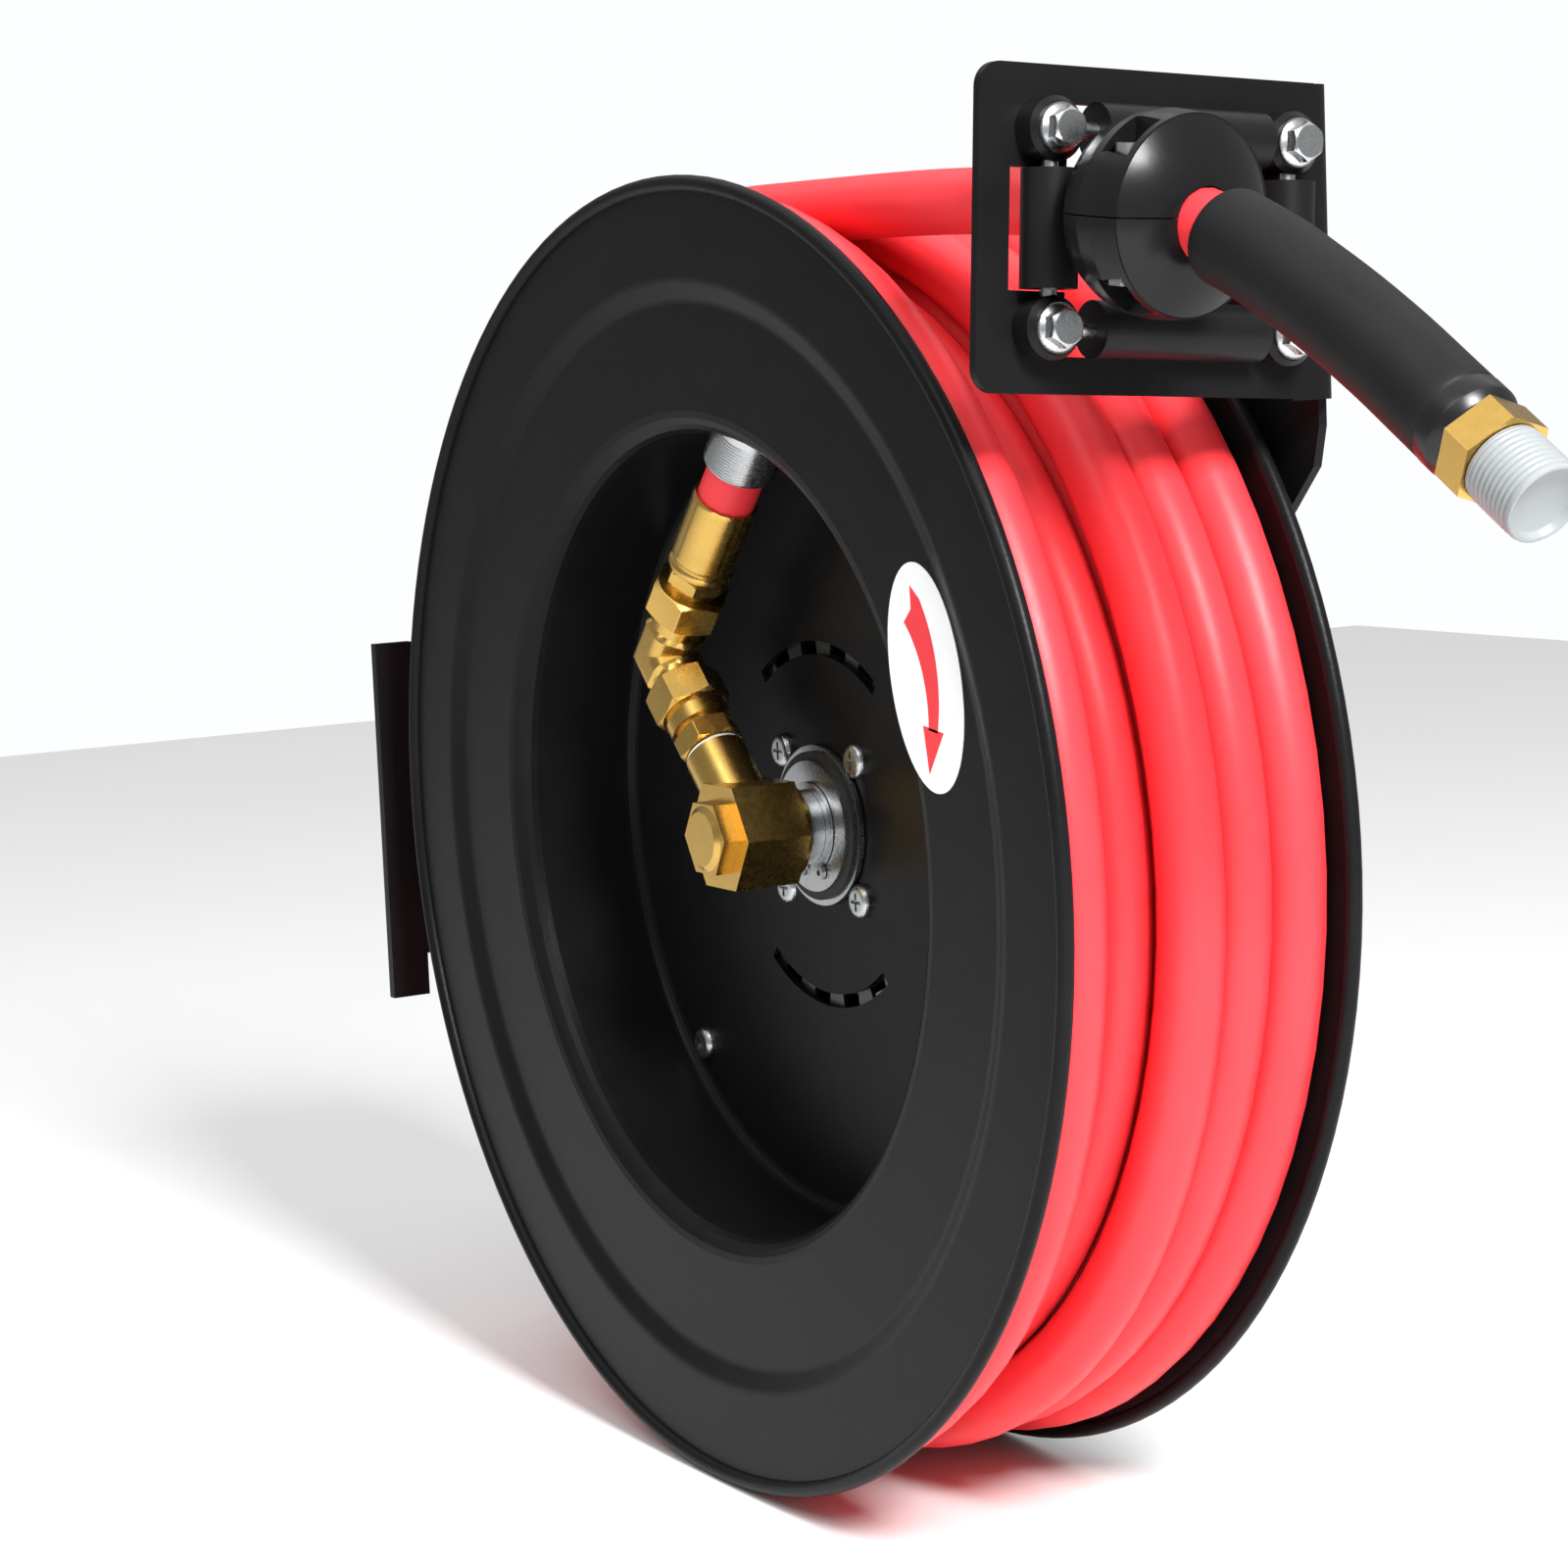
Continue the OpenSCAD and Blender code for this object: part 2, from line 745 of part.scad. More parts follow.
// One tooth: a long back that lifts the pawl, and a steep face that stops on it
function tooth(i) = let (a = 360 / teeth) [
    turned_point(root_r, i * a), turned_point(tip_r, (i + 1) * a - 3), turned_point(tip_r, (i + 1) * a - 1)];

module ratchet_wheel() {
    color(zinc) at_reel() difference() {
        translate([0, ratchet_y + ratchet_t, 0]) rotate([90, 0, 0]) linear_extrude(ratchet_t)
            polygon([for (i = [0:teeth - 1]) each tooth(i)]);
        rod_y(2 * boss_r, ratchet_y - 1, ratchet_y + ratchet_t + 1);
        for (a = [0:120:240]) turned(a) translate([27, 0, 0]) rod_y(5, ratchet_y - 1, ratchet_y + 10);
    }
}

// Peg beside the pawl, for the fixed leg of its spring
module at_peg() {
    turned(pawl_angle - 24) translate([pawl_pivot_r + 8, 0, 0]) children();
}

module at_pawl() {
    turned(pawl_angle) translate([pawl_pivot_r, 0, 0]) children();
}

// A point given round the axle, seen from the pawl's pivot
function from_pivot(r, a) = turned_point(r, a - pawl_angle) - [pawl_pivot_r, 0];

// The nose lies in the gap beyond the steep face at 165 degrees
module pawl() {
    face = 165;
    color(zinc) at_reel() at_pawl() difference() {
        union() {
            translate([0, ratchet_y + ratchet_t - 0.5, 0]) rotate([90, 0, 0]) linear_extrude(ratchet_t - 1)
                polygon([[-7.5, -1.5], from_pivot(tip_r + 4.5, face + 25), from_pivot(tip_r + 0.9, face + 14.5),
                         from_pivot(tip_r - 1.1, face + 8.5), from_pivot(root_r + 2.1, face + 3.4),
                         from_pivot(tip_r + 1.2, face + 1.4), from_pivot(tip_r + 9, face + 5), [3.5, -6.8]]);
            rod_y(16, ratchet_y + 0.5, ratchet_y + ratchet_t + 9);
            // tail that the spring's leg presses
            translate([0, ratchet_y + ratchet_t + 3, 0]) rotate([90, 0, 0]) linear_extrude(3.5)
                polygon([[-3, 7], [6, 5], [10, 17], [6, 18]]);
        }
        rod_y(pawl_pin_d + 2 * run_gap, ratchet_y - 2, ratchet_y + 30);
    }
}

module pawl_stud() {
    color(zinc) at_reel() at_pawl() {
        rod_y(pawl_pin_d, ratchet_y - 1.1, flange_face);
        rod_y(13, flange_face, flange_face + 3);
        rod_y(14, arm_y - 6, arm_y);
    }
}

module pawl_clip() {
    color(zinc) at_reel() at_pawl() ring_y(14, pawl_pin_d, ratchet_y - 0.8, ratchet_y + 0.3);
}

module spring_peg() {
    color(zinc) at_reel() at_peg() {
        rod_y(6, ratchet_y + ratchet_t + 10, flange_face);
        rod_y(9, ratchet_y + ratchet_t + 9, ratchet_y + ratchet_t + 10.5);
    }
}

// Torsion spring round the pawl's boss, with one leg on the pawl and one on the peg
module pawl_spring() {
    wire = 1.4;
    color("#8d9095") at_reel() at_pawl() {
        for (i = [0:3]) along_y(ratchet_y + ratchet_t + 2 + i * wire * 1.1)
            rotate_extrude() translate([9.4, 0]) circle(d = wire, $fn = 20);
        translate([9.2, ratchet_y + ratchet_t + 1.8, 0]) rotate([0, 18, 0])
            cylinder(d = wire, h = 13, $fn = 20);
    }
}

// ---------------------------------------------------------------- brass train in the near pan

module swivel_body() {
    color(brass) at_reel() difference() {
        union() {
            along_y(swivel_front) hex_z(34, swivel_back - swivel_front - 2);
            rod_y(33, swivel_back - 3, swivel_back);
            at_outlet(8) cylinder(d = 21, h = 26);
        }
        rod_y(journal_d + 2 * run_gap, -38.4, swivel_back + 5);
        rod_y(18, swivel_front - 1, -38);
        ring_y(journal_d + 4, journal_d - 4, train_y - 3.5, train_y + 3.5);
        at_outlet(0) cylinder(d = 10, h = 40);
    }
}

module swivel_plug() {
    color(brass) at_reel() {
        rod_y(18, swivel_front - 0.5, -39);
        along_y(swivel_front - 5.5) hex_z(23, 5.5);
        along_y(swivel_front - 7) cylinder(d1 = 18, d2 = 22, h = 1.6);
    }
}

module swivel_nut() {
    color(brass) at_reel() difference() {
        union() {
            at_outlet(34) cylinder(d = 17, h = 3);
            at_outlet(36) rotate([0, 0, 15]) hex_round(20, 8);
            at_outlet(43) cylinder(d = 18, h = 3);
            at_outlet(45.5) cylinder(d = 22, h = 5);
            at_outlet(50) cylinder(d = 20, h = 3);
            at_outlet(52.5) rotate([0, 0, 5]) hex_round(23.5, 12.5);
        }
        at_outlet(10) cylinder(d = 10, h = 60);
    }
}

module elbow() {
    color(brass) at_reel() difference() {
        union() {
            at_outlet(65) cylinder(d = 18, h = elbow_reach - 65);
            at_outlet(elbow_reach) sphere(d = 21);
            at_entry(0) cylinder(d = 18, h = 20);
        }
        at_outlet(50) cylinder(d = 9, h = elbow_reach - 50);
        at_outlet(elbow_reach) sphere(d = 11);
        at_entry(0) cylinder(d = 9, h = 25);
    }
}

module elbow_nut() {
    color(brass) at_reel() difference() {
        union() {
            at_entry(20) rotate([0, 0, 20]) hex_round(24, 12);
            at_entry(31) cylinder(d = 17.4, h = 3);
        }
        at_entry(10) cylinder(d = 9, h = 40);
    }
}

// Hexagon with the corners turned off at both ends
module hex_round(across, h) {
    wide = across / cos(30);
    intersection() {
        hex_z(across, h);
        cylinder(d1 = across - 0.4, d2 = across - 0.4 + 3.4 * h, h = h);
        cylinder(d1 = across - 0.4 + 3.4 * h, d2 = across - 0.4, h = h);
        cylinder(d = wide - 0.3, h = h);
    }
}

module hose_ferrule() {
    color(brass) at_reel() difference() {
        union() {
            at_entry(34) rotate([0, 0, 8]) hex_round(18, 6);
            at_entry(39) cylinder(d = 18.4, h = 3);
            at_entry(41) cylinder(d = 22.6, h = 2.6);
            at_entry(43) cylinder(d = 21, h = 3);
            at_entry(45) cylinder(d = ferrule_d, h = ferrule_end - 45);
        }
        at_entry(30) cylinder(d = 9, h = 16);
        at_entry(45.5) cylinder(d = hose_d, h = 40);
    }
}

module hose_stub() {
    color(red) at_reel() intersection() {
        at_entry(45.5) cylinder(d = hose_d, h = 90);
        rod_y(2 * drum_r + 0.9, -60, 0);
    }
}

module wall_grommet() {
    color(zinc) at_reel() difference() {
        intersection() {
            at_entry(grommet_start) cylinder(d = hose_d + 5, h = 50);
            rod_y(2 * drum_r + 0.9, -60, 0);
        }
        at_entry(grommet_start - 6) cylinder(d = hose_d, h = 90);
    }
}

module rotation_label() {
    long = 34.5;
    short = 19;
    lean = 12;
    color("white") at_reel() turned(label_angle) translate([154, 0, 0]) turned(lean - label_angle)
        translate([0, -flange_u - sheet_t / 2, 0]) rotate([90, 0, 0]) linear_extrude(0.25)
            polygon([for (a = [0:6:354]) [short * cos(a), long * sin(a)]]);
}

// Closed outer shape of the wound hose, with a groove where the last turn leaves
module hose_winding() {
    half = flange_u - sheet_t / 2 - 0.4;
    clear_r = step_r + step_run / 2 + 2;
    color(red) at_reel() along_y() rotate_extrude($fn = 180) {
        translate([drum_r + sheet_t / 2 + 0.4, 8 - half]) square([9, 2 * half - 16]);
        translate([drum_r + sheet_t / 2 + 8, -half]) square([37.4, 2 * half]);
        translate([turn_r - 22, 4 - half]) square([11, 2 * half - 8]);
        for (u = outer_turns) {
            translate([clear_r, u - hose_d / 2 + 0.6]) square([turn_r - clear_r, hose_d - 1.2]);
            translate([turn_r - 1, u]) circle(d = hose_d - 0.4);
        }
    }
}

// ---------------------------------------------------------------- free end of the hose

function route_tangent(i) = unit(hose_route[min(i + 1, len(hose_route) - 1)] - hose_route[max(i - 1, 0)]);

// Rings of a tube of diameter d along a run of the route
module tube(first, last, d, sides) {
    rings = [for (i = [first:last])
        let (t = route_tangent(i), side = unit(cross([0, 0, 1], t)), up = cross(t, side))
        for (k = [0:sides - 1]) hose_route[i]
            + d / 2 * (cos(360 * k / sides) * side + sin(360 * k / sides) * up)];
    n = last - first;
    walls = [for (i = [0:n - 1], k = [0:sides - 1]) let (m = (k + 1) % sides)
        [i * sides + k, (i + 1) * sides + k, (i + 1) * sides + m, i * sides + m]];
    polyhedron(points = rings, faces = concat([[for (k = [0:sides - 1]) k]], walls,
        [[for (k = [sides - 1:-1:0]) n * sides + k]]), convexity = 6);
}

module hose_leadout() {
    color(red) at_reel() tube(0, len(hose_route) - 1, hose_d, 12);
}

module at_ball() {
    translate([ball_x, ball_y, ball_z]) rotate([0, ball_pitch, ball_yaw]) children();
}

// Band behind the dome: distance from its lip and radius, as a share of the ball's diameter
band = [[-24.3, 0.428], [-20, 0.466], [-15, 0.487], [-9.5, 0.495], [-4.5, 0.488], [0, 0.479]];

// Shallow dome in front of a lipped band that narrows to a flat back
module ball_solid() {
    rotate([0, 90, 0]) {
        intersection() {
            translate([0, 0, ball_lip - sqrt(pow(dome_r, 2) - pow(dome_base_r, 2))]) sphere(r = dome_r);
            translate([0, 0, ball_lip - 0.6]) cylinder(r = dome_base_r, h = ball_d / 2);
        }
        for (i = [0:len(band) - 2]) translate([0, 0, ball_lip + band[i][0]])
            cylinder(r1 = ball_d * band[i][1], r2 = ball_d * band[i + 1][1], h = band[i + 1][0] - band[i][0]);
    }
}

module ball_half(side) {
    color("#141414") at_reel() difference() {
        at_ball() difference() {
            intersection() {
                ball_solid();
                translate([-ball_d, -ball_d, side > 0 ? 0.2 : -ball_d - 0.2])
                    cube([2 * ball_d, 2 * ball_d, ball_d]);
            }
            for (y = [-1, 1]) translate([clamp_x, y * clamp_y, 0]) {
                cylinder(d = 5, h = 40, center = true);
                translate([-5, -6, side > 0 ? clamp_z : -clamp_z - 20]) cube([10, 12, 20]);
            }
        }
        translate([ball_x, ball_y, ball_z - 0.45]) rotate([0, 90 + ball_bore_pitch, 0])
            cylinder(d = hose_d + 0.4, h = 2 * ball_d, center = true);
    }
}

module ball_half_upper() {
    ball_half(1);
}

module ball_half_lower() {
    ball_half(-1);
}

module ball_screws() {
    color(zinc) at_reel() at_ball() for (y = [-1, 1]) translate([clamp_x, y * clamp_y, 0]) {
        translate([0, 0, 1 - clamp_z]) cylinder(d = 5, h = 2 * clamp_z - 1);
        difference() {
            translate([0, 0, clamp_z]) cylinder(d = 8.5, h = 4);
            translate([0, 0, clamp_z + 1.5]) hex_z(4, 5);
        }
        translate([0, 0, -clamp_z - 3]) hex_z(8, 3);
        translate([0, 0, -clamp_z - 1]) cylinder(d = 5, h = 3);
    }
}

module bend_sleeve() {
    last = len(hose_route) - 1;
    color("#191919") at_reel() difference() {
        tube(sleeve_start, last, sleeve_d, 12);
        tube(sleeve_start - 1, last, hose_d + 0.8, 12);
    }
}

module at_end(s = 0) {
    translate([end_x, ball_y, end_z]) rotate([0, 90 + end_pitch, 0]) translate([0, 0, s]) children();
}

module sleeve_ring() {
    color("#0c0c0c") at_reel() at_end() difference() {
        union() {
            cylinder(d = sleeve_d + 0.4, h = ring_len - 3);
            translate([0, 0, ring_len - 3 - eps]) cylinder(d1 = sleeve_d + 0.4, d2 = sleeve_d - 3, h = 3);
        }
        translate([0, 0, -1]) cylinder(d = 20, h = ring_len + 2);
    }
}

module end_fitting() {
    color(brass) at_reel() at_end() difference() {
        union() {
            translate([0, 0, 0.2]) cylinder(d = 19.6, h = ring_len);
            translate([0, 0, ring_len]) rotate([0, 0, 12]) hex_z(24, hex_len);
            translate([0, 0, ring_len + hex_len - 0.2]) cylinder(d = 20.9, h = thread_len);
        }
        translate([0, 0, -1]) cylinder(d = 10, h = 60);
    }
}

module thread_cap() {
    start = ring_len + hex_len + 0.4;
    color("#e8eceb") at_reel() at_end(start) difference() {
        cylinder(d = 23, h = cap_len);
        translate([0, 0, -1]) cylinder(d = 21.1, h = thread_len + 1.2);
        translate([0, 0, thread_len + 1]) cylinder(d = 19, h = 10);
    }
}

foot_plate();
pedestal_arm();
guide_arm();
guide_bolts();
guide_nuts();
roller_posts();
roller_bolts();
roller_nuts();
roller_pins();
main_axle();
axle_washer();
axle_nut();
inlet_fitting();
axle_circlip();
swivel_o_rings();
pawl_stud();
pawl_clip();
spring_peg();
hose_leadout();
ball_half_upper();
ball_half_lower();
ball_screws();
bend_sleeve();
sleeve_ring();
end_fitting();
thread_cap();
near_disc();
far_disc();
hub_flange();
bush_near();
bush_far();
hub_screws();
pan_screws();
pan_nuts();
hub_washer();
hub_ring();
spring_canister();
canister_cover();
cover_screws();
mainspring();
ratchet_wheel();
swivel_body();
swivel_plug();
swivel_nut();
elbow();
elbow_nut();
hose_ferrule();
wall_grommet();
hose_stub();
rotation_label();
hose_winding();
pawl();
pawl_spring();
roller_left();
roller_right();
roller_top();
roller_bottom();
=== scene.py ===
import json
import math

import bmesh
import bpy
from mathutils import Matrix, Vector


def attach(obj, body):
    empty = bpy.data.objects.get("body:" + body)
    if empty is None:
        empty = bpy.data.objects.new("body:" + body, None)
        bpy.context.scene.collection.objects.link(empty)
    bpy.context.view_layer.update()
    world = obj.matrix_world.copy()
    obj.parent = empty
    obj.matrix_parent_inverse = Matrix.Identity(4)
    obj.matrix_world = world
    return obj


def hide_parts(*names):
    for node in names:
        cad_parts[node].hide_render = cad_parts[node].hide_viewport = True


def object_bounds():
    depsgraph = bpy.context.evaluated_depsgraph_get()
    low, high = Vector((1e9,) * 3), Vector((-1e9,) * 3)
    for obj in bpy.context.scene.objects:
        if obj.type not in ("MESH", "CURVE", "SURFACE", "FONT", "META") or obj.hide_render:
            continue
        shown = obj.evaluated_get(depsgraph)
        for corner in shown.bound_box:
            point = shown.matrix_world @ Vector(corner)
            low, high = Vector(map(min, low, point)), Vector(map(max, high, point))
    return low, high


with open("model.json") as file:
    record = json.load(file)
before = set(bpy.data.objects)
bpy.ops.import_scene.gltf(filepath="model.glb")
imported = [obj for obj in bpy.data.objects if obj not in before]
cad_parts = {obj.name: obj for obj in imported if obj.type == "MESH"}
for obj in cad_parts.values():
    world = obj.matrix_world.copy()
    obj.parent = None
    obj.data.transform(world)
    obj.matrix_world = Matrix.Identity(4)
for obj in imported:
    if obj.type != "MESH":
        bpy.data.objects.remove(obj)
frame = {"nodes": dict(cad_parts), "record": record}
cad_box = [list(p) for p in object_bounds()]
NODES = frame["nodes"]
# Middle of the drum on its axle, in metres
AXLE = Vector((0.243, -0.0195, 0.016))
HOSE_R = 0.010
# The brass train in the near pan: angles in degrees, lengths in millimetres
TRAIN_Y = -28
OUTLET = 134.5
ENTRY = 49.5
ELBOW_REACH = 79
ELBOW = (ELBOW_REACH * math.cos(math.radians(OUTLET)), ELBOW_REACH * math.sin(math.radians(OUTLET)))


# ---------------------------------------------------------------- camera
def camera_basis(az, el, roll):
    a, e, r = (math.radians(v) for v in (az, el, roll))
    right = Vector((math.cos(a), math.sin(a), 0))
    back = Vector((math.sin(a) * math.cos(e), -math.cos(a) * math.cos(e), math.sin(e)))
    up = back.cross(right)
    x = right * math.cos(r) + up * math.sin(r)
    y = up * math.cos(r) - right * math.sin(r)
    return Matrix((x, y, back)).transposed()


cam_data = bpy.data.cameras.new("camera")
cam_data.lens = 85.14
cam_data.sensor_width = 36
cam_data.clip_start = 0.05
cam = bpy.data.objects.new("camera", cam_data)
cam.matrix_world = Matrix.Translation(AXLE + Vector((1.0565, -0.6327, 0.1643))) @ camera_basis(
    59.72, 6.95, -2.41
).to_4x4()
bpy.context.scene.collection.objects.link(cam)
bpy.context.scene.camera = cam
bpy.context.scene.view_settings.view_transform = "Standard"


# ---------------------------------------------------------------- helpers
def link(obj):
    bpy.context.scene.collection.objects.link(obj)
    return obj


def rel(x, y, z):
    """A point given in millimetres from the centre of the drum."""
    return AXLE + Vector((x, y, z)) * 0.001


def round_drum(angle, r, y):
    a = math.radians(angle)
    return rel(r * math.cos(a), y, r * math.sin(a))


def smooth(t):
    t = min(1.0, max(0.0, t))
    return t * t * (3 - 2 * t)


def line_length(points):
    return sum((b - a).length for a, b in zip(points, points[1:]))


def resample(points, step):
    """The same line as a Catmull-Rom curve with even spacing."""
    out = []
    n = len(points)
    for i in range(n - 1):
        p0 = points[max(i - 1, 0)]
        p1, p2 = points[i], points[i + 1]
        p3 = points[min(i + 2, n - 1)]
        m = max(1, round((p2 - p1).length / step))
        for k in range(m):
            t = k / m
            out.append(
                0.5
                * (
                    2 * p1
                    + (p2 - p0) * t
                    + (2 * p0 - 5 * p1 + 4 * p2 - p3) * t * t
                    + (3 * p1 - p0 - 3 * p2 + p3) * t * t * t
                )
            )
    out.append(points[-1].copy())
    return out


def hose(name, points, radius, sides=5):
    curve = bpy.data.curves.new(name, "CURVE")
    curve.dimensions = "3D"
    curve.bevel_depth = radius
    curve.bevel_resolution = sides
    curve.use_fill_caps = True
    spline = curve.splines.new("POLY")
    spline.points.add(len(points) - 1)
    for p, q in zip(spline.points, points):
        p.co = (*q, 1)
    spline.use_smooth = True
    return link(bpy.data.objects.new(name, curve))


def along(points):
    """Frames that follow a line without twisting: (point, side, up, forward)."""
    out = []
    up = Vector((0, 0, 1))
    for i, p in enumerate(points):
        t = (points[min(i + 1, len(points) - 1)] - points[max(i - 1, 0)]).normalized()
        up = (up - t * up.dot(t)).normalized()
        out.append((p, up.cross(t), up, t))
    return out


def skin(name, rings, closed=False, caps=True, sharp=35):
    """A surface through rings of points."""
    n = len(rings[0])
    verts = [v for r in rings for v in r]
    last = len(rings)
    faces = []
    for i in range(last if closed else last - 1):
        j = (i + 1) % last
        for k in range(n):
            m = (k + 1) % n
            faces.append((i * n + k, j * n + k, j * n + m, i * n + m))
    if caps and not closed:
        faces.append(tuple(range(n)))
        faces.append(tuple(range((last - 1) * n, last * n)))
    return mesh_piece(name, verts, faces, sharp)


def sleeve_rings(frames, profile, n=64, wobble=None):
    """Rings round a line. profile is (distance from the start, radius) in metres."""
    dist = [0.0]
    for a, b in zip(frames, frames[1:]):
        dist.append(dist[-1] + (b[0] - a[0]).length)
    rings = []
    for s, r in profile:
        i = 0
        while i < len(dist) - 2 and dist[i + 1] < s:
            i += 1
        f = (s - dist[i]) / (dist[i + 1] - dist[i])
        p0, s0, u0 = frames[i][:3]
        p1, s1, u1 = frames[i + 1][:3]
        p, side, up = p0.lerp(p1, f), s0.lerp(s1, f).normalized(), u0.lerp(u1, f).normalized()
        ring = []
        for k in range(n):
            a = 2 * math.pi * k / n
            q = r + (wobble(s, a, r) if wobble else 0)
            ring.append(p + (side * math.cos(a) + up * math.sin(a)) * q)
        rings.append(ring)
    return rings


def turned_ring(frame_matrix, profile, name, n=72, wobble=None, sharp=35):
    """A closed ring of section profile = (axial, radius) in millimetres round the frame's Z axis."""
    rings = []
    for k in range(n):
        a = 2 * math.pi * k / n
        ring = []
        for z, r in profile:
            q = r + (wobble(z, a, r) if wobble else 0)
            ring.append(frame_matrix @ Vector((q * math.cos(a), q * math.sin(a), z)))
        rings.append(ring)
    return skin(name, rings, closed=True, caps=False, sharp=sharp)


def axis_frame(origin, direction, hint=(0, 0, 1)):
    """Millimetres along a line of the object, with Z on the line."""
    z = Vector(direction).normalized()
    x = Vector(hint) - z * z.dot(Vector(hint))
    x.normalize()
    y = z.cross(x)
    m = Matrix((x, y, z)).transposed().to_4x4()
    return Matrix.Translation(origin) @ m @ Matrix.Scale(0.001, 4)


def mesh_piece(name, verts, faces, sharp=35):
    me = bpy.data.meshes.new(name)
    me.from_pydata([tuple(v) for v in verts], [], faces)
    bm = bmesh.new()
    bm.from_mesh(me)
    bmesh.ops.recalc_face_normals(bm, faces=bm.faces)
    for e in bm.edges:
        e.smooth = len(e.link_faces) == 2 and e.calc_face_angle() < math.radians(sharp)
    for f in bm.faces:
        f.smooth = True
    bm.to_mesh(me)
    bm.free()
    return link(bpy.data.objects.new(name, me))


# ---------------------------------------------------------------- hose, wound on the drum
STUB_END = 92
BEND_R = 60
LAYER_R = (144.3, 162.9, 181.5)
OUTER_R = 200
# Outermost turn of an inner layer, and of the outer layer, from the drum's middle plane
LAYER_Y = 37.3
OUTER_Y = 39.2
TURNS_IN = 11


def entry_point(s):
    a = math.radians(ENTRY)
    return rel(ELBOW[0] + s * math.cos(a), TRAIN_Y, ELBOW[1] + s * math.sin(a))


def wound_path():
    pts = [entry_point(s) for s in range(46, STUB_END + 1, 4)]
    # bend that carries the hose from the drum wall on to the first layer
    a = math.radians(ENTRY)
    sx = ELBOW[0] + STUB_END * math.cos(a)
    sz = ELBOW[1] + STUB_END * math.sin(a)
    cx, cz = sx + BEND_R * math.sin(a), sz - BEND_R * math.cos(a)
    reach = math.degrees(math.atan2(cz, cx))
    for k in range(1, 20):
        b = math.radians(ENTRY + 90 + (reach - ENTRY - 90) * k / 19)
        pts.append(rel(cx + BEND_R * math.cos(b), TRAIN_Y, cz + BEND_R * math.sin(b)))
    top_r = math.hypot(cx, cz) + BEND_R
    # knots: drum angle, radius, height along the axle
    angle, side = reach - 120, -1
    knots = [(reach, top_r, TRAIN_Y), (angle, LAYER_R[0], side * LAYER_Y)]
    target = -110 - 360 * TURNS_IN
    span = (angle - target - 120) / 3
    for r in LAYER_R:
        if r > LAYER_R[0]:
            angle -= 60
            knots.append((angle, r, side * LAYER_Y))
        angle -= span
        side = -side
        knots.append((angle, r, side * LAYER_Y))
    # the outer layer, then the dive under its first turn
    for step, r, y in (
        (60, OUTER_R, OUTER_Y), (360, OUTER_R, OUTER_Y), (420, 196.6, 20.4), (720, 197.4, 20.8),
        (780, OUTER_R, 2.4), (1080, OUTER_R, 1.2), (1180, OUTER_R, -OUTER_Y),
        (1475, OUTER_R, -OUTER_Y), (1525, OUTER_R, -19.5), (1560, 182, -19.5),
    ):
        knots.append((angle - step, r, y))
    first_outer = angle - 60
    for (a0, r0, y0), (a1, r1, y1) in zip(knots, knots[1:]):
        n = max(1, round((a0 - a1) / 5))
        long_run = a0 - a1 > 900
        for k in range(1, n + 1):
            t = k / n
            g = a0 + (a1 - a0) * t
            u = t if long_run else smooth(t)
            y, r = y0 + (y1 - y0) * u, r0 + (r1 - r0) * u
            if g < first_outer:
                w = math.radians(g)
                y += 0.55 * math.sin(1.9 * w + 0.6)
                r += 0.5 * math.sin(2.7 * w + 1.1)
            pts.append(round_drum(g, r, y))
    return pts


wound = wound_path()
winding = hose("hose_wound", wound, HOSE_R)

# ---------------------------------------------------------------- hose, from the drum to its end fitting
ROUTE = [
    (-70, -19, 189.2), (-50, -19, 195.4), (-25, -19, 200.2),
    (0, -19, 201.7), (30, -19.2, 201.7), (60, -19.6, 201.5), (90, -20.2, 201.2),
    (120, -21, 200.6), (150, -21.6, 199.4), (180, -22, 197.4), (202, -22, 195.2),
    (218, -22, 193.6), (234.5, -22, 191.2), (243.5, -22, 189.1), (252, -22, 186.6),
    (276, -22, 177.2), (289, -22, 170.8), (306, -22, 161.9), (323, -22, 152),
    (337, -22, 143), (348.4, -22, 135.6),
]
start = [round_drum(a, 182 + 19 * smooth((180 - a) / 34), -19) for a in range(180, 116, -6)]
free_points = resample(start + [rel(*p) for p in ROUTE], 0.006)
free_hose = hose("hose_free", free_points, HOSE_R)


